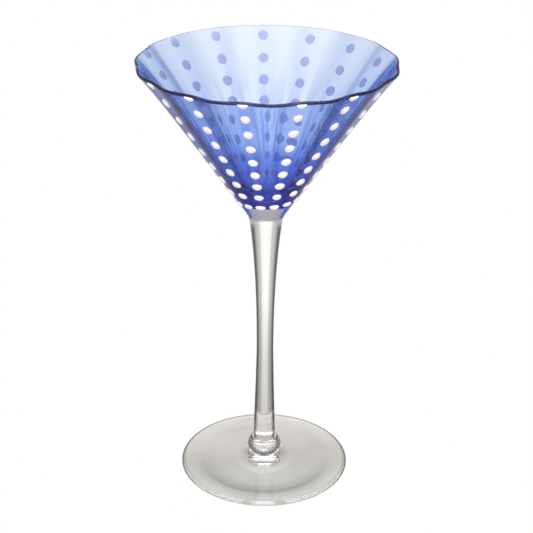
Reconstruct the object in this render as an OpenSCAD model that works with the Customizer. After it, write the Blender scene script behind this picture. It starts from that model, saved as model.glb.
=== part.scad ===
// Martini glass: a blue, optic-fluted bowl on a clear stem, with a spiral of white enamel dots.
// The glass stands on the XY plane, its axis is the Z axis, and all lengths are in millimetres.

/* [Bowl] */
// Height of the rim above the table, at the middle of its wave
rim_h = 203.4; // [198:0.2:208]
// Outer diameter of the bowl's straight cone at the height of the rim
cone_d = 114; // [110:1:118]
// How far the rim flares out from that cone
rim_flare = 1.3; // [0:0.1:1.6]
// Height where the blue bowl sits on the clear stem
join_h = 139.5; // [136:0.5:141]
// Outer diameter of the bowl where it sits on the stem
join_d = 27.5; // [26.5:0.5:29]
// Thickness of the wall at the rim
rim_wall = 1.8; // [1.4:0.1:2.4]
// Height of the lowest point inside the bowl
cavity_h = 143.5; // [142.5:0.5:146]
// Radius of the rounded bottom inside the bowl
cavity_r = 24; // [20:1:24]

/* [Flutes] */
// Number of flutes, and of upright rows of dots
flutes = 15; // [14:1:16]
// Radial half height of the flutes outside, at the rim
flute_out = 0.4; // [0:0.1:0.6]
// How much thicker the wall is along a row of dots than its mean, at the rim
rib = 0.24; // [0:0.02:0.3]
// Half height of the wave along the rim's edge
rim_wave = 0.15; // [0:0.05:0.6]

/* [Dots] */
// Turns of the spiral of dots, with one dot on each row in every turn
spiral_turns = 8.4; // [5:0.1:8.4]
// Height of the first dot at the bottom of the spiral
spiral_h = 139.2; // [138.8:0.1:140]
// Climb of the spiral over its first turn
spiral_climb = 6.25; // [6:0.05:6.3]
// Growth of the climb with each further turn
spiral_growth = 0.38; // [0.3:0.01:0.38]
// Azimuth of the first dot, from the +X axis
spiral_start = -171.8; // [-180:0.1:180]
// Diameter of a dot
dot_d = 4.5; // [3.6:0.1:4.8]
// How far a dot stands out of the wall
dot_h = 0.9; // [0.5:0.1:1.2]

/* [Stem] */
// Diameter of the stem at its waist
waist_d = 7.9; // [7.4:0.1:9]
// Height of the waist
waist_h = 62; // [55:1:70]
// Height of the stem's foot end, on top of the button
stem_h = 14.5; // [14:0.5:16]

/* [Button] */
// Diameter of the button between the stem and the foot
button_d = 16; // [14:0.5:18]
// Height of the button's underside, on the foot
button_h = 6.5; // [6:0.5:7]

/* [Foot] */
// Diameter of the foot
foot_d = 80.4; // [76:0.2:88]
// Thickness of the foot at its edge
foot_edge = 2.6; // [2.2:0.2:3.2]
// Width of the flat ring that the glass stands on
contact_w = 6; // [4:0.5:8]
// Depth of the hollow under the foot
hollow = 1.2; // [0.6:0.1:1.6]

/* [Hidden] */

// Columns of the bowl's surface in each flute, and levels along its straight walls
flute_steps = 8;
wall_steps = 6;
// The levels close up by this power towards the rim, where the wall bends
wall_crowding = 1.6;
// The power that keeps the upright wave near the rim
wave_power = 4;
// The power with which the ribs inside fade towards the join
rib_power = 0.4;
// Steps of the curves over the lip and through the bottom of the bowl
lip_steps = 6;
bottom_steps = 6;
// Steps of the stem's, the button's and the foot's curves
stem_steps = 56;
button_steps = 16;
foot_steps = 6;
// Facets of a full turn
smooth = 120;
dome_smooth = 48;

lip_r = rim_wall / 2;
join_r = join_d / 2;
foot_r = foot_d / 2;
edge_r = foot_edge / 2;

// The outer wall is a straight cone, and cone_a is its angle from the axis
wall_h = rim_h - join_h;
cone_slope = (cone_d / 2 - join_r) / wall_h;
cone_a = atan(cone_slope);
// The flare's power, which keeps it near the rim
flare_power = 8;

// The lip is a half round whose middle is lip_c = [radius, height], before the flare
lip_c = [cone_r(rim_h - lip_r) - lip_r / cos(cone_a), rim_h - lip_r];

// The inner wall runs from the lip down to a tangent on the rounded bottom
bottom_c = cavity_h + cavity_r;
lip_reach = norm([lip_c[0], lip_c[1] - bottom_c]);
inner_a = atan2(lip_c[0], lip_c[1] - bottom_c) - asin((cavity_r + lip_r) / lip_reach);

// How far the stem swells above and below its waist, over these heights and with these powers
upper_swell = 2.7;
upper_span = 60;
upper_power = 2.3;
lower_swell = 1.35;
lower_power = 1.2;

// The size of the blend between the stem's taper and the bowl's cone, in square millimetres,
// and the height below the join over which it grows to that
cone_blend = 1;
blend_span = 15;

// The button is this much wider than the stem where they meet
button_step = 0.5;

// The foot's raised middle: where it starts to rise, the glass there, and its top under the button
mound_r = 13.5;
mound_base = 4;
mound_top_r = 7;
// How far the ring that the glass stands on stays inside the round edge
contact_inset = 1.2;

// Number of dots, and the middle of the highest ones, which the rim cuts off at dot_stop
dots = round(spiral_turns * flutes);
dot_top = rim_h - 1.1;
dot_stop = rim_h - 0.9;
// Dots stand this far off the wall's valley, so that no flat back cuts the wall beside it
dot_gap = 0.08;

function dot_row_name(row) = str("dot_row_", row < 10 ? "0" : "", row);

function cone_r(h) = join_r + (h - join_h) * cone_slope;

// 1 on a row of dots and -1 halfway between two rows
function wave(a) = cos(flutes * (a - spiral_start));

// How far up the wall a height is, from 0 at the join to 1 at the rim
function rise(h) = max(h - join_h, 0) / wall_h;

function flare(h) = rim_flare * pow(rise(h), flare_power);

function flare_slope(h) = rim_flare * flare_power * pow(rise(h), flare_power - 1) / wall_h;

// A ring of the bowl is [radius, height, radial wave, upright wave]. Rows of dots lie in the valleys of
// the outer wall, and inside goes from 0 on that wall to 1 on the inner one, which has the ribs
function wall_ring(p, inside) = let (
    up = rise(p[1]),
    depth = flute_out * up + inside * rib * pow(up, rib_power)
) [p[0] + flare(p[1]), p[1], -depth, rim_wave * pow(up, wave_power)];

function lip_point(a) = lip_c + lip_r * [cos(a), sin(a)];

function bottom_point(a) = [cavity_r * sin(a), bottom_c - cavity_r * cos(a)];

function bowl_rings() = let (
    outer_end = lip_point(-cone_a),
    inner_top = lip_point(180 - inner_a),
    inner_end = bottom_point(90 - inner_a)
) concat(
    [for (i = [0:wall_steps]) let (
        h = outer_end[1] - (outer_end[1] - join_h) * pow(1 - i / wall_steps, wall_crowding)
    ) wall_ring([cone_r(h), h], 0)],
    [for (i = [1:lip_steps - 1]) let (
        share = i / lip_steps,
        p = lip_point(-cone_a + share * (180 - inner_a + cone_a))
    ) wall_ring(p, share)],
    [for (i = [0:wall_steps - 1]) let (
        p = inner_top + (inner_end - inner_top) * pow(i / wall_steps, wall_crowding)
    ) wall_ring(p, 1)],
    [for (i = [0:bottom_steps - 1]) let (
        p = bottom_point((90 - inner_a) * (1 - i / bottom_steps))
    ) wall_ring(p, 1)]
);

function stem_swell(h) = h > waist_h
    ? upper_swell * pow((h - waist_h) / upper_span, upper_power)
    : lower_swell * pow((waist_h - h) / (waist_h - stem_h), lower_power);

// The stem follows the larger of its own taper and the bowl's cone, with a smooth blend between them
function stem_r(h) = let (
    taper = waist_d / 2 + stem_swell(h),
    cone = cone_r(h),
    blend = cone_blend * min((join_h - h) / blend_span, 1)
) (taper + cone + sqrt(pow(taper - cone, 2) + blend)) / 2;

// Height of dot n, whose climb grows evenly as the spiral goes up
function dot_height(n) = let (
    turn = n / flutes
) min(spiral_h + spiral_climb * turn + spiral_growth / 2 * turn * turn, dot_top);

// The blown shell, as rings of points from the join up the outside, over the lip and down the inside
module bowl() {
    rings = bowl_rings();
    columns = flutes * flute_steps;
    count = len(rings);
    points = concat(
        [for (ring = rings, j = [0:columns - 1]) let (
            a = spiral_start + 360 * j / columns,
            r = ring[0] + ring[2] * wave(a)
        ) [r * cos(a), r * sin(a), ring[1] + ring[3] * wave(a)]],
        [[0, 0, join_h], [0, 0, cavity_h]]
    );
    base = count * columns;
    faces = concat(
        [for (i = [0:count - 2], j = [0:columns - 1]) let (
            k = (j + 1) % columns
        ) [i * columns + k, i * columns + j, (i + 1) * columns + j]],
        [for (i = [0:count - 2], j = [0:columns - 1]) let (
            k = (j + 1) % columns
        ) [i * columns + k, (i + 1) * columns + j, (i + 1) * columns + k]],
        [for (j = [0:columns - 1]) [base, j, (j + 1) % columns]],
        [for (j = [0:columns - 1]) let (
            last = (count - 1) * columns
        ) [last + (j + 1) % columns, last + j, base + 1]]
    );
    color([0.25, 0.42, 0.86, 0.45])
        polyhedron(points, faces, convexity = 6);
}

// Drawn glass, waisted below and flared above into the cup that carries the bowl
module stem() {
    // Steps close up towards the flare
    crowding = 1.5;
    outline = [for (i = [0:stem_steps]) let (
        h = join_h - (join_h - stem_h) * pow(1 - i / stem_steps, crowding)
    ) [stem_r(h), h]];
    color([0.86, 0.86, 0.83, 0.4])
        rotate_extrude($fn = smooth)
            polygon(concat([[0, stem_h]], outline, [[0, join_h]]));
}

// A bead with a round side, flat where the foot and the stem meet it
module button() {
    half = (stem_h - button_h) / 2;
    middle = button_h + half;
    end_r = stem_r(stem_h) + button_step;
    lean = acos(end_r / (button_d / 2));
    outline = [for (i = [0:button_steps]) let (
        a = -lean + 2 * lean * i / button_steps
    ) [button_d / 2 * cos(a), middle + half * sin(a) / sin(lean)]];
    color([0.82, 0.82, 0.79, 0.4])
        rotate_extrude($fn = smooth)
            polygon(concat([[0, button_h]], outline, [[0, stem_h]]));
}

// A thin disc with a round edge, a raised middle, and a hollow inside the ring that it stands on
module foot() {
    slope_power = 1.6;
    mound_power = 1.8;
    contact_out = foot_r - edge_r - contact_inset;
    contact_in = contact_out - contact_w;
    edge_top = [for (a = [-90:15:90]) [foot_r - edge_r + edge_r * cos(a), edge_r + edge_r * sin(a)]];
    slope = [for (i = [1:foot_steps]) let (
        share = i / foot_steps
    ) [
        foot_r - edge_r + (mound_r - foot_r + edge_r) * share,
        foot_edge + (mound_base - foot_edge) * pow(share, slope_power)
    ]];
    mound = [for (i = [1:foot_steps]) let (
        share = i / foot_steps
    ) [
        mound_r + (mound_top_r - mound_r) * share,
        mound_base + (button_h - mound_base) * pow(share, mound_power)
    ]];
    under = [for (i = [0:foot_steps]) let (
        share = i / foot_steps
    ) [contact_in * share, hollow * (1 - share * share)]];
    color([0.84, 0.84, 0.81, 0.4])
        rotate_extrude($fn = smooth)
            polygon(concat(under, [[contact_out, 0]], edge_top, slope, mound, [[0, button_h]]));
}

// One enamel dot: a shallow dome whose flat back lies along the bowl's wall
module dot(n) {
    h = dot_height(n);
    r = cone_r(h) + flare(h) - flute_out * rise(h);
    lean = atan(cone_slope + flare_slope(h));
    dome_r = (pow(dot_d / 2, 2) + dot_h * dot_h) / (2 * dot_h);
    rotate([0, 0, spiral_start + n * 360 / flutes])
        translate([r, 0, h])
            rotate([0, 90 + lean, 0])
                translate([0, 0, dot_gap])
                    intersection() {
                        translate([0, 0, dot_h - dome_r])
                            sphere(r = dome_r, $fn = dome_smooth);
                        cylinder(r = dot_d, h = 2 * dot_h, $fn = dome_smooth);
                    }
}

// An upright row of dots, cut off level under the rim
module dot_row(row) {
    color([0.96, 0.95, 0.97])
        intersection() {
            for (n = [row - 1:flutes:dots - 1]) {
                dot(n);
            }
            cylinder(r = cone_d, h = dot_stop, $fn = smooth);
        }
}

bowl();
stem();
button();
foot();
for (row = [1:flutes]) {
    dot_row(row);
}
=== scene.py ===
"""Looks of a martini glass: a blue optic bowl with white enamel dots on a clear drawn stem.

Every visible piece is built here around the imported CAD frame, in metres, and rides on its body.
"""
import math
import random

import bpy
from mathutils import Matrix, Vector


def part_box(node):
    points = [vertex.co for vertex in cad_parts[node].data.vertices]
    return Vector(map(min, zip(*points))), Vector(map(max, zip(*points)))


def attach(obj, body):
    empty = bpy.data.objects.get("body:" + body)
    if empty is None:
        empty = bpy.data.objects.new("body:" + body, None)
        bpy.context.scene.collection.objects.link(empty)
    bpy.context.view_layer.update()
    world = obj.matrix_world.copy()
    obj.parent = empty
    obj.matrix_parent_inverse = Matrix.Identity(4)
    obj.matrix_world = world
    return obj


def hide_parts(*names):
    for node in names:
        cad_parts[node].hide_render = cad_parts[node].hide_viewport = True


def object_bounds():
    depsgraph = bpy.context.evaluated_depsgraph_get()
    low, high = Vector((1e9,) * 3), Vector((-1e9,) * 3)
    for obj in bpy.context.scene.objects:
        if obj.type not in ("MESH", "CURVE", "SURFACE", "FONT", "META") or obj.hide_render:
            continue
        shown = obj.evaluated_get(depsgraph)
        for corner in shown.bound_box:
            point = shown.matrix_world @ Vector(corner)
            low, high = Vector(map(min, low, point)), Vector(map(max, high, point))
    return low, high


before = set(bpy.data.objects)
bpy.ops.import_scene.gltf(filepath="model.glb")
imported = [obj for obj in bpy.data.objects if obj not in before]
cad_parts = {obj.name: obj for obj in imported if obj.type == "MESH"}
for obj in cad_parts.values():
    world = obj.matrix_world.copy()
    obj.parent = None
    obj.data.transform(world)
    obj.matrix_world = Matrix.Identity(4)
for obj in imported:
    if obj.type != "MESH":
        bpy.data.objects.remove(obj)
cad_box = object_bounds()

MM = 0.001

# ---- sizes that come from the frame -------------------------------------------------------

BODY = "root"
ROWS = sorted(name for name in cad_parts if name.startswith("dot_row_"))
FLUTES = len(ROWS)

JOIN_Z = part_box("stem")[1].z
JOIN_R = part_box("stem")[1].x
STEM_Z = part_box("button")[1].z
BUTTON_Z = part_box("foot")[1].z
BUTTON_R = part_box("button")[1].x
FOOT_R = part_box("foot")[1].x

# ---- the bowl -----------------------------------------------------------------------------

RIM_WAVE = 0.15 * MM
RIM_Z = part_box("bowl")[1].z - RIM_WAVE
RIM_FLARE = 1.3 * MM
FLARE_POWER = 8
CONE_R = 57 * MM
LIP_R = 0.9 * MM
CAVITY_Z = 143.5 * MM
CAVITY_R = 24 * MM
FLUTE_OUT = 0.4 * MM
# The wall is thicker along the rows of dots by this half height, which fades towards the join
RIB = 0.24 * MM
RIB_POWER = 0.4
WAVE_POWER = 4

WALL_H = RIM_Z - JOIN_Z
CONE_SLOPE = (CONE_R - JOIN_R) / WALL_H
CONE_A = math.atan(CONE_SLOPE)

# Columns of the mesh in each flute, and rings along its parts, which close up towards the rim
FLUTE_COLUMNS = 24
WALL_STEPS = 56
LIP_STEPS = 20
BOTTOM_STEPS = 20
WALL_CROWDING = 1.3

# ---- the spiral of dots -------------------------------------------------------------------

SPIRAL_TURNS = 8.4
SPIRAL_Z = 139.2 * MM
SPIRAL_CLIMB = 6.25 * MM
SPIRAL_GROWTH = 0.38 * MM
SPIRAL_START = math.radians(-171.8)
DOT_R = 2.25 * MM
DOT_H = 0.85 * MM
DOT_TOP = RIM_Z - 1.1 * MM
DOT_STOP = RIM_Z - 0.9 * MM
# A dot's height over its width near the rim, and how much less it is at the bottom of the spiral
DOT_STRETCH = 1.08
DOT_SHORTFALL = 0.48
DOT_POWER = 6
# How the dots differ: shares of width, height and thickness, a turn of the outline and its waves
WIDTHS = (0.93, 1.03)
HEIGHTS = (0.96, 1.04)
THICKNESSES = (0.9, 1.1)
TURN_OFF = (-0.3, 0.3)
TURN_SHARE = 0.1
WAVES = 3
WAVE_SIZES = (-0.03, 0.03)
# The powers of a dot's profile: flat in the middle, round at its shoulders
DOME_POWER = 2.6
SHOULDER_POWER = 0.6
# A dot's back lies this far inside the wall
DOT_SINK = 0.06 * MM
DOT_COLUMNS = 28
DOT_RINGS = 7
FIRST_SEED = 100

# ---- the stem -----------------------------------------------------------------------------

WAIST_R = 3.95 * MM
WAIST_Z = 62 * MM
UPPER_SWELL = 2.7 * MM
UPPER_SPAN = 60 * MM
UPPER_POWER = 2.3
LOWER_SWELL = 1.35 * MM
LOWER_POWER = 1.2
CONE_BLEND = 1.0 * MM * MM
BLEND_SPAN = 15 * MM
# The stem ends this far below the bowl, so that their fused faces don't coincide
STEM_GAP = 0.02 * MM
STEM_STEPS = 110
STEM_CROWDING = 1.5

# ---- the button and the foot --------------------------------------------------------------

BUTTON_STEP = 0.5 * MM
BUTTON_STEPS = 56
FOOT_EDGE = 2.6 * MM
CONTACT_W = 6 * MM
CONTACT_INSET = 1.2 * MM
HOLLOW = 1.2 * MM
MOUND_R = 13.5 * MM
MOUND_Z = 4 * MM
MOUND_TOP_R = 7 * MM
SLOPE_POWER = 1.6
MOUND_POWER = 1.8
FOOT_STEPS = 40
EDGE_STEPS = 24

# Columns of the turned pieces
ROUND = 192
FOOT_ROUND = 240
SHARP_ANGLE = math.radians(35)


# ---- formulas shared by the pieces ----------------------------------------------------------

def cone_r(z):
    return JOIN_R + (z - JOIN_Z) * CONE_SLOPE


def rise(z):
    """How far up the wall a height is, from 0 at the join to 1 at the rim."""
    return max(z - JOIN_Z, 0) / WALL_H


def flare(z):
    return RIM_FLARE * rise(z) ** FLARE_POWER


def flare_slope(z):
    return RIM_FLARE * FLARE_POWER * rise(z) ** (FLARE_POWER - 1) / WALL_H


def dot_stretch(z):
    return DOT_STRETCH - DOT_SHORTFALL * (1 - rise(z)) ** DOT_POWER


def dot_height(n):
    """Height of dot n, whose climb grows evenly as the spiral goes up."""
    turn = n / FLUTES
    return min(SPIRAL_Z + SPIRAL_CLIMB * turn + SPIRAL_GROWTH / 2 * turn * turn, DOT_TOP)


def wave(azimuth):
    """1 on a row of dots and -1 halfway between two rows."""
    return math.cos(FLUTES * (azimuth - SPIRAL_START))


def wall_point(azimuth, z):
    """A point of the bowl's outer wall."""
    r = cone_r(z) + flare(z) - FLUTE_OUT * rise(z) * wave(azimuth)
    lift = RIM_WAVE * rise(z) ** WAVE_POWER * wave(azimuth)
    return Vector((r * math.cos(azimuth), r * math.sin(azimuth), z + lift))


def stem_r(z):
    """The larger of the stem's taper and the bowl's cone, with a smooth blend between them."""
    if z > WAIST_Z:
        swell = UPPER_SWELL * ((z - WAIST_Z) / UPPER_SPAN) ** UPPER_POWER
    else:
        swell = LOWER_SWELL * ((WAIST_Z - z) / (WAIST_Z - STEM_Z)) ** LOWER_POWER
    taper = WAIST_R + swell
    cone = cone_r(z)
    blend = CONE_BLEND * min((JOIN_Z - z) / BLEND_SPAN, 1)
    return (taper + cone + math.sqrt((taper - cone) ** 2 + blend)) / 2


# ---- node helpers ---------------------------------------------------------------------------

def new_material(name):
    material = bpy.data.materials.new(name)
    material.use_nodes = True
    tree = material.node_tree
    tree.nodes.clear()
    output = tree.nodes.new("ShaderNodeOutputMaterial")
    return material, tree, output


def add(tree, kind, **settings):
    """A node with its settings."""
    node = tree.nodes.new(kind)
    for key, value in settings.items():
        setattr(node, key, value)
    return node


def noise(tree, vector, scale, detail=2.0):
    node = add(tree, "ShaderNodeTexNoise")
    node.inputs["Scale"].default_value = scale
    node.inputs["Detail"].default_value = detail
    tree.links.new(vector, node.inputs["Vector"])
    return node.outputs["Fac"]


def remap(tree, value, low, high, to_low, to_high, kind="LINEAR"):
    node = add(tree, "ShaderNodeMapRange", interpolation_type=kind)
    node.inputs["From Min"].default_value = low
    node.inputs["From Max"].default_value = high
    node.inputs["To Min"].default_value = to_low
    node.inputs["To Max"].default_value = to_high
    tree.links.new(value, node.inputs["Value"])
    return node.outputs["Result"]


def step_up(tree, value, low, high):
    """0 below the low value and 1 above the high one, with a smooth way between them."""
    return remap(tree, value, low, high, 0, 1, "SMOOTHSTEP")


def math_node(tree, operation, a, b=None):
    node = add(tree, "ShaderNodeMath", operation=operation)
    for socket, value in zip(node.inputs, (a, b)):
        if isinstance(value, (int, float)):
            socket.default_value = value
        elif value is not None:
            tree.links.new(value, socket)
    return node.outputs["Value"]


def vector_node(tree, operation, a, b=None):
    """The node of a vector operation, for the caller to take its vector or its value."""
    node = add(tree, "ShaderNodeVectorMath", operation=operation)
    for socket, value in zip(node.inputs, (a, b)):
        if isinstance(value, tuple):
            socket.default_value = value
        elif value is not None:
            tree.links.new(value, socket)
    return node


def multiply_colour(tree, a, b):
    return vector_node(tree, "MULTIPLY", a, b).outputs["Vector"]


def mix_colour(tree, factor, a, b):
    """Colour a where the factor is 0 and colour b where it is 1; either may be a tuple."""
    node = add(tree, "ShaderNodeMix", data_type="RGBA")
    tree.links.new(factor, node.inputs[0])
    for socket, colour in ((node.inputs[6], a), (node.inputs[7], b)):
        if isinstance(colour, tuple):
            socket.default_value = (*colour, 1)
        else:
            tree.links.new(colour, socket)
    return node.outputs[2]


def tinted(tree, colour, factor, tint):
    """The colour, multiplied by the tint where the factor is 1."""
    return multiply_colour(tree, colour, mix_colour(tree, factor, WHITE, tint))


def bump(tree, height, distance, strength):
    node = add(tree, "ShaderNodeBump")
    node.inputs["Strength"].default_value = strength
    node.inputs["Distance"].default_value = distance
    tree.links.new(height, node.inputs["Height"])
    return node.outputs["Normal"]


def object_place(tree):
    return add(tree, "ShaderNodeTexCoord").outputs["Object"]


def split(tree, vector):
    """The X, Y and Z of a vector."""
    node = add(tree, "ShaderNodeSeparateXYZ")
    tree.links.new(vector, node.inputs["Vector"])
    return node.outputs["X"], node.outputs["Y"], node.outputs["Z"]


def level_part(tree, vector):
    """The vector without its height."""
    return vector_node(tree, "MULTIPLY", vector, (1, 1, 0)).outputs["Vector"]


def length(tree, vector):
    return vector_node(tree, "LENGTH", vector).outputs["Value"]


def stretched_place(tree, share):
    """Object coordinates with the height scaled, so that a noise is drawn out or pressed along it."""
    mapping = add(tree, "ShaderNodeMapping")
    mapping.inputs["Scale"].default_value = (1, 1, share)
    tree.links.new(object_place(tree), mapping.inputs["Vector"])
    return mapping.outputs["Vector"]


def wall_place(tree):
    """A place that changes with the heading round the axis but only slowly with height."""
    x, y, z = split(tree, object_place(tree))
    heading = math_node(tree, "ARCTAN2", y, x)
    drawn_out = add(tree, "ShaderNodeCombineXYZ")
    tree.links.new(math_node(tree, "COSINE", heading), drawn_out.inputs["X"])
    tree.links.new(math_node(tree, "SINE", heading), drawn_out.inputs["Y"])
    tree.links.new(math_node(tree, "MULTIPLY", z, WALL_PLACE_CLIMB), drawn_out.inputs["Z"])
    return drawn_out.outputs["Vector"]


def height_ramp(tree, low, high):
    """0 below the low height and 1 above the high one."""
    return step_up(tree, split(tree, object_place(tree))[2], low, high)


def facing_ramp(tree, low, high):
    """0 where the surface faces the eye and 1 where it turns away."""
    return step_up(tree, add(tree, "ShaderNodeLayerWeight").outputs["Facing"], low, high)


def level_ramp(tree, value, stops, reach, tint):
    """Levels of light in one tint, at stops that are given on a scale from 0 to the reach."""
    ramp = add(tree, "ShaderNodeValToRGB")
    ramp.color_ramp.interpolation = "EASE"
    elements = ramp.color_ramp.elements
    for k, (stop, level) in enumerate(stops):
        while len(elements) <= k:
            elements.new(1)
        elements[k].position = stop / reach
        elements[k].color = (*(level * part for part in tint), 1)
    tree.links.new(value, ramp.inputs["Fac"])
    return ramp.outputs["Color"]


# ---- materials ------------------------------------------------------------------------------

WHITE = (1.0, 1.0, 1.0)
GLASS_IOR = 1.5
# The index across a face that is fused to other glass, where light goes straight on
FUSED_IOR = 1.0001
ENAMEL_IOR = 1.5
# Depth of the ripples and the grain on the surfaces
RIPPLE_DEPTH = 0.05 * MM

# The bowl's two tones high and low on the wall, and the heights between which they change
PALE = ((0.96, 0.965, 1.0), (1.0, 0.99, 1.0))
DEEP = ((0.15, 0.31, 0.64), (0.2, 0.36, 0.7))
DEEP_TO_PALE = (JOIN_Z + 7 * MM, JOIN_Z + 19 * MM)
# The upright streaks: their blue, the scale of their noise and the part of it that they take
STREAK = (0.22, 0.4, 0.88)
STREAK_SCALE = 12
STREAK_PART = (0.42, 0.6)
STREAKS_END = (JOIN_Z, RIM_Z - 10 * MM)
WALL_PLACE_CLIMB = 3
# The cloud and the ripples of the wall: scale, share of the height, and strength
WALL_CLOUD_SCALE = 40
WALL_CLOUD_SHARE = 0.3
WALL_RIPPLE_SCALE = 120
WALL_RIPPLE_SHARE = 0.2
WALL_RIPPLE = 0.5
# Painted shade of the wall where it turns away from the eye, a little, more, and almost wholly: it stands
# in for the dark edges that the glass shows of its surroundings
SIDE_SHADE = (0.78, 0.87, 1.0)
SIDE_TURN = (0.06, 0.42)
FLANK_SHADE = (0.1, 0.25, 0.76)
FLANK_TURN = (0.47, 0.72)
OUTLINE_SHADE = (0.2, 0.24, 0.45)
OUTLINE_TURN = (0.8, 0.97)
# The blue that is left, and how fast the rest is taken, along the way in the glass
DEPTH_BLUE = (0.0, 0.33, 0.88)
DEPTH_DENSITY = 190

# The ripples and the cloud of the clear glass
CLEAR_RIPPLE_SCALE = 150
CLEAR_RIPPLE_SHARE = 0.25
CLEAR_CLOUD_SCALE = 60

STEM_TONES = ((0.97, 0.97, 0.96), (0.94, 0.94, 0.93))
# Painted shade on the stem's flanks, dark and then pale in the flare under the bowl, and where that
# changes
STEM_FLANK_SHADE = (0.03, 0.03, 0.028)
FLARE_FLANK_SHADE = (0.86, 0.86, 0.84)
FLANK_TO_FLARE = (JOIN_Z - 14 * MM, JOIN_Z - 8 * MM)
STEM_TURN = (0.26, 0.52)
STEM_RIPPLE = 0.4

BUTTON_TONES = ((0.98, 0.975, 0.96), (0.42, 0.41, 0.4))
BAND_SCALE = 160
BAND_SHARE = 4
BAND_PART = (0.42, 0.58)
# Painted shade: the dark lobes where the button's sides turn away from the eye
BUTTON_LOBE_SHADE = (0.08, 0.08, 0.075)
BUTTON_TURN = (0.08, 0.36)
BUTTON_RIPPLE = 0.1

FOOT_TONES = ((0.97, 0.965, 0.95), (0.93, 0.925, 0.91))
# Painted shade on the foot's raised middle round the button
MOUND_SHADE = (0.72, 0.71, 0.69)
# The bead round the foot: its painted dark edge shade, where it starts and how rough it is
BEAD_SHADE = (0.06, 0.06, 0.055)
BEAD_START = (FOOT_R - 2.1 * MM, FOOT_R - 1.4 * MM)
BEAD_TURN = (0.36, 0.56)
BEAD_ROUGHNESS = 0.08
FOOT_RIPPLE = 0

ENAMEL_TONES = ((0.97, 0.93, 0.98), (0.93, 0.88, 0.94))
ENAMEL_CLOUD_SCALE = 500
ENAMEL_CLOUD_PART = (0.3, 0.7)
ENAMEL_ROUGHNESS = (0.15, 0.35)
ENAMEL_GRAIN_SCALE = 1500
ENAMEL_GRAIN = 0.3
# A painted glow on the flat backs of the dots, which stands in for the light that comes through the
# enamel from behind
BACK_GLOW = (1.0, 0.86, 0.6)
BACK_GLOW_STRENGTH = 0.17


def glass_shader(tree, output, colour, normal):
    """Smooth glass with the given colour and unevenness."""
    shader = add(tree, "ShaderNodeBsdfPrincipled")
    shader.inputs["Transmission Weight"].default_value = 1
    shader.inputs["IOR"].default_value = GLASS_IOR
    shader.inputs["Roughness"].default_value = 0
    tree.links.new(colour, shader.inputs["Base Color"])
    tree.links.new(normal, shader.inputs["Normal"])
    tree.links.new(shader.outputs["BSDF"], output.inputs["Surface"])
    return shader


def wall_colour(tree):
    """The blue of the bowl's surface, which gathers low on the wall and in streaks, with painted shade at
    the flanks and outline.
    """
    cloud = noise(tree, stretched_place(tree, WALL_CLOUD_SHARE), WALL_CLOUD_SCALE)
    pale = mix_colour(tree, cloud, *PALE)
    deep = mix_colour(tree, cloud, *DEEP)
    body = mix_colour(tree, height_ramp(tree, *DEEP_TO_PALE), deep, pale)
    gathered = step_up(tree, noise(tree, wall_place(tree), STREAK_SCALE, 1), *STREAK_PART)
    low = math_node(tree, "SUBTRACT", 1, height_ramp(tree, *STREAKS_END))
    body = mix_colour(tree, math_node(tree, "MULTIPLY", gathered, low), body, STREAK)
    # Painted shade where the wall turns away: partly the longer way light goes through the wall there,
    # partly the dark edges that the glass shows of its surroundings
    body = tinted(tree, body, facing_ramp(tree, *SIDE_TURN), SIDE_SHADE)
    body = tinted(tree, body, facing_ramp(tree, *FLANK_TURN), FLANK_SHADE)
    return mix_colour(tree, facing_ramp(tree, *OUTLINE_TURN), body, OUTLINE_SHADE)


def blue_glass():
    """Blue through and through, so a longer way in the glass looks deeper."""
    material, tree, output = new_material("blue_glass")
    uneven = noise(tree, stretched_place(tree, WALL_RIPPLE_SHARE), WALL_RIPPLE_SCALE, 1)
    normal = bump(tree, uneven, RIPPLE_DEPTH, WALL_RIPPLE)
    shader = glass_shader(tree, output, wall_colour(tree), normal)
    fused = add(tree, "ShaderNodeAttribute", attribute_name="fused").outputs["Fac"]
    tree.links.new(remap(tree, fused, 0, 1, GLASS_IOR, FUSED_IOR), shader.inputs["IOR"])
    depth = add(tree, "ShaderNodeVolumeAbsorption")
    depth.inputs["Color"].default_value = (*DEPTH_BLUE, 1)
    depth.inputs["Density"].default_value = DEPTH_DENSITY
    tree.links.new(depth.outputs["Volume"], output.inputs["Volume"])
    return material


def clear_shader(tree, output, colour, ripple):
    """Clear glass with the given colour and a faint unevenness of the surface."""
    uneven = noise(tree, stretched_place(tree, CLEAR_RIPPLE_SHARE), CLEAR_RIPPLE_SCALE, 1)
    return glass_shader(tree, output, colour, bump(tree, uneven, RIPPLE_DEPTH, ripple))


def stem_glass():
    """Clear glass with painted shade along both edges of the solid round, dark up to the flare under the
    bowl and pale in it.
    """
    material, tree, output = new_material("stem_glass")
    body = mix_colour(tree, noise(tree, object_place(tree), CLEAR_CLOUD_SCALE), *STEM_TONES)
    painted_shade = mix_colour(tree, height_ramp(tree, *FLANK_TO_FLARE), STEM_FLANK_SHADE, FLARE_FLANK_SHADE)
    colour = mix_colour(tree, facing_ramp(tree, *STEM_TURN), body, painted_shade)
    clear_shader(tree, output, colour, STEM_RIPPLE)
    return material


def button_glass():
    """A bead of glass with level bands, and painted shade in dark lobes where its sides turn away."""
    material, tree, output = new_material("button_glass")
    bands = noise(tree, stretched_place(tree, BAND_SHARE), BAND_SCALE)
    bands = remap(tree, bands, *BAND_PART, 0, 1)
    body = mix_colour(tree, bands, *BUTTON_TONES)
    colour = mix_colour(tree, facing_ramp(tree, *BUTTON_TURN), body, BUTTON_LOBE_SHADE)
    clear_shader(tree, output, colour, BUTTON_RIPPLE)
    return material


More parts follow.
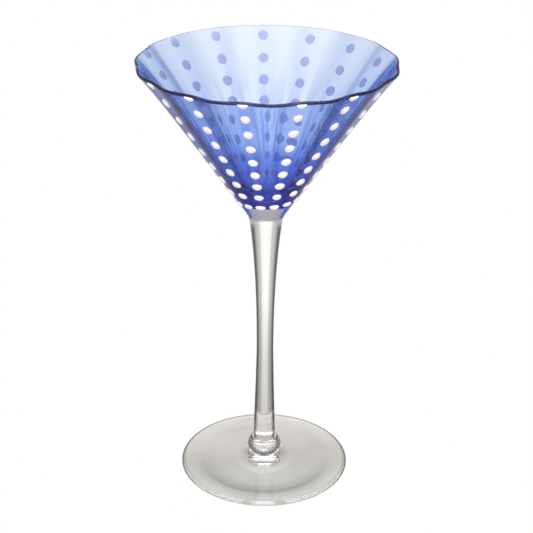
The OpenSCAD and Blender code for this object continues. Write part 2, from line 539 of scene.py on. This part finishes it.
def foot_glass():
    """Pressed glass with painted shade: greyer on its raised middle and dark in the bead round its edge.
    """
    material, tree, output = new_material("foot_glass")
    reach = length(tree, level_part(tree, object_place(tree)))
    bead = step_up(tree, reach, *BEAD_START)
    edge = math_node(tree, "MULTIPLY", bead, facing_ramp(tree, *BEAD_TURN))
    body = mix_colour(tree, noise(tree, object_place(tree), CLEAR_CLOUD_SCALE), *FOOT_TONES)
    body = mix_colour(tree, step_up(tree, reach, MOUND_TOP_R, MOUND_R), MOUND_SHADE, body)
    shader = clear_shader(tree, output, mix_colour(tree, edge, body, BEAD_SHADE), FOOT_RIPPLE)
    tree.links.new(remap(tree, bead, 0, 1, 0, BEAD_ROUGHNESS), shader.inputs["Roughness"])
    return material


def fused_face():
    """The inside of a fused joint, which light crosses unchanged."""
    material, tree, output = new_material("fused_face")
    shader = add(tree, "ShaderNodeBsdfTransparent")
    tree.links.new(shader.outputs["BSDF"], output.inputs["Surface"])
    return material


def painted_back_glow(tree):
    """How much painted glow comes out, in place of light from behind: on the faces towards the axis,
    which are the dots' backs.
    """
    normal = add(tree, "ShaderNodeNewGeometry").outputs["True Normal"]
    outward = vector_node(tree, "DOT_PRODUCT", level_part(tree, object_place(tree)), normal)
    back = math_node(tree, "LESS_THAN", outward.outputs["Value"], 0)
    return math_node(tree, "MULTIPLY", back, BACK_GLOW_STRENGTH)


def white_enamel():
    """Glossy white enamel with a faint grain."""
    material, tree, output = new_material("white_enamel")
    shader = add(tree, "ShaderNodeBsdfPrincipled")
    shader.inputs["IOR"].default_value = ENAMEL_IOR
    place = object_place(tree)
    cloud = noise(tree, place, ENAMEL_CLOUD_SCALE, 3)
    tree.links.new(mix_colour(tree, cloud, *ENAMEL_TONES), shader.inputs["Base Color"])
    roughness = remap(tree, cloud, *ENAMEL_CLOUD_PART, *ENAMEL_ROUGHNESS)
    tree.links.new(roughness, shader.inputs["Roughness"])
    grain = noise(tree, place, ENAMEL_GRAIN_SCALE)
    tree.links.new(bump(tree, grain, RIPPLE_DEPTH, ENAMEL_GRAIN), shader.inputs["Normal"])
    # Painted glow on the dots' backs, in place of light that comes through the enamel from behind
    shader.inputs["Emission Color"].default_value = (*BACK_GLOW, 1)
    tree.links.new(painted_back_glow(tree), shader.inputs["Emission Strength"])
    tree.links.new(shader.outputs["BSDF"], output.inputs["Surface"])
    return material


# ---- meshes ---------------------------------------------------------------------------------

def new_piece(name, points, faces, materials, fused=()):
    """A smooth mesh; the faces listed as fused get that mark, and the second material if there is one."""
    mesh = bpy.data.meshes.new(name)
    mesh.from_pydata(points, [], faces)
    mesh.validate()
    for material in materials:
        mesh.materials.append(material)
    mesh.polygons.foreach_set("use_smooth", [True] * len(mesh.polygons))
    mesh.set_sharp_from_angle(angle=SHARP_ANGLE)
    mark = mesh.attributes.new("fused", "FLOAT", "FACE")
    for k in fused:
        mark.data[k].value = 1
        if len(materials) > 1:
            mesh.polygons[k].material_index = 1
    mesh.update()
    piece = bpy.data.objects.new(name, mesh)
    bpy.context.scene.collection.objects.link(piece)
    return piece


def sweep_faces(rings, columns):
    """The quads between neighbouring rings of points, facing out when the rings go up the outside."""
    faces = []
    for i in range(rings - 1):
        for j in range(columns):
            k = (j + 1) % columns
            faces.append((i * columns + j, i * columns + k, (i + 1) * columns + k, (i + 1) * columns + j))
    return faces


def close_ends(points, faces, columns, low_z, high_z):
    """Adds a fan of faces on the first ring and one on the last, and returns the numbers of both."""
    low, high = len(points), len(points) + 1
    last = low - columns
    points += [(0, 0, low_z), (0, 0, high_z)]
    first_fan = range(len(faces), len(faces) + columns)
    faces += [(low, (j + 1) % columns, j) for j in range(columns)]
    last_fan = range(len(faces), len(faces) + columns)
    faces += [(high, last + j, last + (j + 1) % columns) for j in range(columns)]
    return first_fan, last_fan


def turned(name, outline, materials, columns, fused_bottom=True):
    """A turned piece: an outline of (radius, height) from bottom to top, with its top end fused."""
    points = []
    for r, z in outline:
        for j in range(columns):
            a = 2 * math.pi * j / columns
            points.append((r * math.cos(a), r * math.sin(a), z))
    faces = sweep_faces(len(outline), columns)
    bottom, top = close_ends(points, faces, columns, outline[0][1], outline[-1][1])
    fused = [*(bottom if fused_bottom else ()), *top]
    return new_piece(name, points, faces, materials, fused)


def bowl_ring(p, inside):
    """A point of the outline with its radial and upright wave; inside is 1 on the inner wall."""
    up = rise(p[1])
    depth = FLUTE_OUT * up + inside * RIB * up ** RIB_POWER
    return p[0] + flare(p[1]), p[1], -depth, RIM_WAVE * up ** WAVE_POWER


def bowl_rings():
    """[radius, height, radial wave, upright wave] of each ring, up the outside and down the inside."""
    lip_r, lip_z = cone_r(RIM_Z - LIP_R) - LIP_R / math.cos(CONE_A), RIM_Z - LIP_R
    bottom_z = CAVITY_Z + CAVITY_R
    reach = math.hypot(lip_r, lip_z - bottom_z)
    inner_a = math.atan2(lip_r, lip_z - bottom_z) - math.asin((CAVITY_R + LIP_R) / reach)

    def lip(a):
        return lip_r + LIP_R * math.cos(a), lip_z + LIP_R * math.sin(a)

    def bottom(a):
        return CAVITY_R * math.sin(a), bottom_z - CAVITY_R * math.cos(a)

    rings = []
    outer_end = lip(-CONE_A)
    for i in range(WALL_STEPS + 1):
        z = outer_end[1] - (outer_end[1] - JOIN_Z) * (1 - i / WALL_STEPS) ** WALL_CROWDING
        rings.append(bowl_ring((cone_r(z), z), 0))
    for i in range(1, LIP_STEPS):
        share = i / LIP_STEPS
        rings.append(bowl_ring(lip(-CONE_A + share * (math.pi - inner_a + CONE_A)), share))
    top, end = lip(math.pi - inner_a), bottom(math.pi / 2 - inner_a)
    for i in range(WALL_STEPS):
        share = (i / WALL_STEPS) ** WALL_CROWDING
        rings.append(bowl_ring(tuple(a + (b - a) * share for a, b in zip(top, end)), 1))
    for i in range(BOTTOM_STEPS):
        rings.append(bowl_ring(bottom((math.pi / 2 - inner_a) * (1 - i / BOTTOM_STEPS)), 1))
    return rings


def make_bowl(material):
    """The blown shell, open at the top, with its underside fused to the stem."""
    columns = FLUTES * FLUTE_COLUMNS
    rings = bowl_rings()
    points = []
    for r, z, out, up in rings:
        for j in range(columns):
            a = SPIRAL_START + 2 * math.pi * j / columns
            w = wave(a)
            points.append(((r + out * w) * math.cos(a), (r + out * w) * math.sin(a), z + up * w))
    faces = sweep_faces(len(rings), columns)
    fused, _ = close_ends(points, faces, columns, JOIN_Z, CAVITY_Z)
    return new_piece("blown_bowl", points, faces, [material], fused)


def make_stem(materials):
    """Drawn glass, waisted below and flared above."""
    top = JOIN_Z - STEM_GAP
    outline = []
    for i in range(STEM_STEPS + 1):
        z = top - (top - STEM_Z) * (1 - i / STEM_STEPS) ** STEM_CROWDING
        outline.append((stem_r(z), z))
    return turned("drawn_stem", outline, materials, ROUND)


def make_button(materials):
    """A bead with a round side, flat where the foot and the stem meet it."""
    half = (STEM_Z - BUTTON_Z) / 2
    middle = BUTTON_Z + half
    lean = math.acos((stem_r(STEM_Z) + BUTTON_STEP) / BUTTON_R)
    outline = []
    for i in range(BUTTON_STEPS + 1):
        a = -lean + 2 * lean * i / BUTTON_STEPS
        outline.append((BUTTON_R * math.cos(a), middle + half * math.sin(a) / math.sin(lean)))
    return turned("stem_button", outline, materials, ROUND)


def make_foot(materials):
    """A thin disc, hollow under its contact ring, with a round edge and a raised middle."""
    edge_r = FOOT_EDGE / 2
    edge_in = FOOT_R - edge_r
    contact_out = edge_in - CONTACT_INSET
    contact_in = contact_out - CONTACT_W
    shares = [i / FOOT_STEPS for i in range(1, FOOT_STEPS + 1)]
    outline = [(contact_in * share, HOLLOW * (1 - share * share)) for share in shares]
    outline.append((contact_out, 0))
    for i in range(EDGE_STEPS + 1):
        a = math.pi * (i / EDGE_STEPS - 1 / 2)
        outline.append((edge_in + edge_r * math.cos(a), edge_r + edge_r * math.sin(a)))
    for share in shares:
        r = edge_in + (MOUND_R - edge_in) * share
        outline.append((r, FOOT_EDGE + (MOUND_Z - FOOT_EDGE) * share ** SLOPE_POWER))
    for share in shares:
        r = MOUND_R + (MOUND_TOP_R - MOUND_R) * share
        outline.append((r, MOUND_Z + (BUTTON_Z - MOUND_Z) * share ** MOUND_POWER))
    return turned("pressed_foot", outline, materials, FOOT_ROUND, fused_bottom=False)


def dot_points(dice, azimuth, z):
    """Points of one enamel drop that follows the wall, thick in the middle with round shoulders."""
    lean = math.atan(CONE_SLOPE + flare_slope(z))
    r = cone_r(z) + flare(z)
    half_w = DOT_R * dice.uniform(*WIDTHS)
    half_h = DOT_R * dice.uniform(*HEIGHTS) * dot_stretch(z)
    turn_off = dice.uniform(*TURN_OFF) * TURN_SHARE
    wobble = [dice.uniform(*WAVE_SIZES) for _ in range(WAVES)]
    height = DOT_H * dice.uniform(*THICKNESSES)

    def place(x, y, off):
        a = azimuth + x / r
        p = wall_point(a, min(z + y * math.cos(lean), DOT_STOP))
        normal = Vector((math.cos(a) * math.cos(lean), math.sin(a) * math.cos(lean), -math.sin(lean)))
        return p + normal * off

    points = [place(0, 0, height)]
    for i in range(1, DOT_RINGS + 1):
        share = i / DOT_RINGS
        off = height * (1 - share ** DOME_POWER) ** SHOULDER_POWER
        for j in range(DOT_COLUMNS):
            t = 2 * math.pi * j / DOT_COLUMNS
            edge = 1 + sum(w * math.cos((k + 2) * t + k) for k, w in enumerate(wobble))
            x, y = half_w * math.cos(t + turn_off) * edge, half_h * math.sin(t) * edge
            points.append(place(x * share, y * share, off))
    inward = Vector((-math.cos(azimuth), -math.sin(azimuth), 0)) * DOT_SINK
    points += [p + inward for p in points[-DOT_COLUMNS:]]
    points.append(place(0, 0, -DOT_SINK))
    return points


def dot_faces(count):
    """The faces of a drop: a fan at its front, rings down to its rim, and a fan at its back."""
    faces = [(0, 1 + j, 1 + (j + 1) % DOT_COLUMNS) for j in range(DOT_COLUMNS)]
    for i in range(DOT_RINGS):
        a, b = 1 + i * DOT_COLUMNS, 1 + (i + 1) * DOT_COLUMNS
        for j in range(DOT_COLUMNS):
            k = (j + 1) % DOT_COLUMNS
            faces.append((a + j, b + j, b + k, a + k))
    back = 1 + DOT_RINGS * DOT_COLUMNS
    faces += [(back + j, count - 1, back + (j + 1) % DOT_COLUMNS) for j in range(DOT_COLUMNS)]
    return faces


def make_dot_row(row, material):
    """One upright row: every dot of the spiral that falls on it."""
    dice = random.Random(FIRST_SEED + row)
    points, faces = [], []
    for n in range(row, round(SPIRAL_TURNS * FLUTES), FLUTES):
        own = dot_points(dice, SPIRAL_START + n * 2 * math.pi / FLUTES, dot_height(n))
        faces += [tuple(k + len(points) for k in face) for face in dot_faces(len(own))]
        points += own
    return new_piece(f"enamel_row_{row + 1:02d}", [tuple(p) for p in points], faces, [material])


# ---- stage ----------------------------------------------------------------------------------

# Levels of light by degrees of heading: white behind the glass, grey to the sides, lighter in front
LOW = [(0, 1.08), (11, 1.02), (20, 0.6), (38, 0.46), (60, 0.5), (85, 0.64), (135, 0.75), (180, 0.9)]
HIGH = [(0, 0.42), (40, 0.42), (60, 0.5), (85, 0.72), (110, 0.9), (135, 2.1), (180, 2.8)]
HALF_TURN = 180
STUDIO_TINT = (1, 0.985, 0.96)
OVERHEAD = (2.3, 2.25, 2.3)
# The low light gives way to the high light, and that to the light overhead, at these rises
LOW_TO_HIGH = (0.08, 0.25)
HIGH_TO_OVERHEAD = (0.7, 0.92)

# Painted light and shade on the floor under the foot, by distance from the axis in millimetres
PAINTED_RINGS = [(0, 0.6), (8, 0.62), (12, 0.85), (14.5, 0.66), (22, 0.62), (27, 0.5), (29.5, 0.39), (33, 0.62),
         (36.5, 0.74), (40, 0.72)]
RINGS_TINT = (1, 0.98, 0.94)
# Towards the back of the foot the painted rings fade into plain painted light, which grows paler
RINGS_FADE = (-28 * MM, 2 * MM)
RINGS_FADE_END = 0.9
PLAIN_TONES = ((0.61, 0.595, 0.57), (0.82, 0.8, 0.78))
PLAIN_FADE = (-5 * MM, 32 * MM)
PATCH_SCALE = 30
PATCH_PART = (0.3, 0.7)
PATCH_LEVELS = (0.9, 1.1)

FLOOR_HALF = 12.0
FLOOR_DROP = 0.02 * MM
# Painted shadow: the floor dims towards the glass, as if the glass stood in its own faint shadow
FLOOR_SHADOW = (0.62, 0.61, 0.6)
FLOOR_SHADOW_REACH = (0.045, 0.2)
FOOT_LIGHT_END = (FOOT_R - 1 * MM, FOOT_R + 6 * MM)

SENSOR_W = 36
LENS = 98.35
CAMERA_PLACE = (0.4 * MM, -607.5 * MM, 391.5 * MM)
CAMERA_TILT = math.radians(64.766)
CAMERA_ROLL = math.radians(0.49)
CLIP_START = 0.01
# Light stays in glass for many turns before it comes out
BOUNCES = 40


def heading_ramp(tree, x, y, stops):
    """Light by heading, which is the angle from the +Y axis to either side."""
    angle = math_node(tree, "ABSOLUTE", math_node(tree, "ARCTAN2", x, y))
    return level_ramp(tree, math_node(tree, "DIVIDE", angle, math.pi), stops, HALF_TURN, STUDIO_TINT)


def white_for_camera(tree, light):
    """The given light on the glass, and plain white where the camera sees the studio itself."""
    seen = add(tree, "ShaderNodeLightPath")
    return mix_colour(tree, seen.outputs["Is Camera Ray"], light, WHITE)


def make_world():
    """A white studio: bright behind the glass, grey to the sides, brightest high in front and above."""
    world = bpy.data.worlds.new("studio")
    bpy.context.scene.world = world
    world.use_nodes = True
    tree = world.node_tree
    tree.nodes.clear()
    output = add(tree, "ShaderNodeOutputWorld")
    x, y, z = split(tree, add(tree, "ShaderNodeTexCoord").outputs["Generated"])
    low, high = (heading_ramp(tree, x, y, stops) for stops in (LOW, HIGH))
    light = mix_colour(tree, step_up(tree, z, *LOW_TO_HIGH), low, high)
    light = mix_colour(tree, step_up(tree, z, *HIGH_TO_OVERHEAD), light, OVERHEAD)
    shader = add(tree, "ShaderNodeBackground")
    tree.links.new(white_for_camera(tree, light), shader.inputs["Color"])
    tree.links.new(shader.outputs["Background"], output.inputs["Surface"])


def painted_light_under_foot(tree, place, reach):
    """Painted rings of light and shade on the floor under the foot, standing in for the light that the
    foot focuses and the shade it casts.
    """
    share = math_node(tree, "DIVIDE", reach, FOOT_R)
    rings = level_ramp(tree, share, PAINTED_RINGS, FOOT_R / MM, RINGS_TINT)
    y = split(tree, place)[1]
    behind = remap(tree, y, *RINGS_FADE, 0, RINGS_FADE_END, "SMOOTHSTEP")
    plain = mix_colour(tree, remap(tree, y, *PLAIN_FADE, 0, 1), *PLAIN_TONES)
    light = mix_colour(tree, behind, rings, plain)
    patches = remap(tree, noise(tree, place, PATCH_SCALE), *PATCH_PART, *PATCH_LEVELS)
    return multiply_colour(tree, light, patches)


def pale_floor():
    """Painted light on the floor: the studio's levels by heading, a painted shadow near the glass, and
    painted light and shade under the foot.
    """
    material, tree, output = new_material("pale_floor")
    place = object_place(tree)
    reach = length(tree, place)
    x, y, _ = split(tree, place)
    light = heading_ramp(tree, x, y, LOW)
    painted_shadow = mix_colour(tree, remap(tree, reach, *FLOOR_SHADOW_REACH, 0, 1), FLOOR_SHADOW, WHITE)
    light = multiply_colour(tree, light, painted_shadow)
    under = remap(tree, reach, *FOOT_LIGHT_END, 1, 0, "SMOOTHSTEP")
    light = mix_colour(tree, under, light, painted_light_under_foot(tree, place, reach))
    shader = add(tree, "ShaderNodeEmission")
    tree.links.new(white_for_camera(tree, light), shader.inputs["Color"])
    tree.links.new(shader.outputs["Emission"], output.inputs["Surface"])
    return material


def make_floor():
    """A plain pale floor, white to the camera, that glows with painted light like a lit white sweep."""
    mesh = bpy.data.meshes.new("floor")
    half = FLOOR_HALF
    corners = [(-half, -half, 0), (half, -half, 0), (half, half, 0), (-half, half, 0)]
    mesh.from_pydata(corners, [], [(0, 1, 2, 3)])
    mesh.materials.append(pale_floor())
    floor = bpy.data.objects.new("floor", mesh)
    bpy.context.scene.collection.objects.link(floor)
    floor.location.z = cad_box[0].z - FLOOR_DROP


def make_camera():
    """The viewing angle: above the rim, looking down at the foot."""
    data = bpy.data.cameras.new("camera")
    data.sensor_width = SENSOR_W
    data.lens = LENS
    data.clip_start = CLIP_START
    camera = bpy.data.objects.new("camera", data)
    bpy.context.scene.collection.objects.link(camera)
    turn = Matrix.Rotation(CAMERA_TILT, 4, "X") @ Matrix.Rotation(CAMERA_ROLL, 4, "Z")
    camera.matrix_world = Matrix.Translation(CAMERA_PLACE) @ turn
    bpy.context.scene.camera = camera


def set_up_render():
    scene = bpy.context.scene
    scene.view_settings.view_transform = "Standard"
    scene.view_settings.look = "None"
    scene.cycles.max_bounces = BOUNCES
    scene.cycles.glossy_bounces = BOUNCES
    scene.cycles.transmission_bounces = BOUNCES
    scene.cycles.transparent_max_bounces = BOUNCES


# ---- assembly -------------------------------------------------------------------------------

def hand_over(piece, node):
    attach(piece, BODY)
    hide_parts(node)


def build():
    fused = fused_face()
    hand_over(make_bowl(blue_glass()), "bowl")
    hand_over(make_stem([stem_glass(), fused]), "stem")
    hand_over(make_button([button_glass(), fused]), "button")
    hand_over(make_foot([foot_glass(), fused]), "foot")
    enamel = white_enamel()
    for row, node in enumerate(ROWS):
        hand_over(make_dot_row(row, enamel), node)


make_camera()
make_world()
make_floor()
set_up_render()
build()
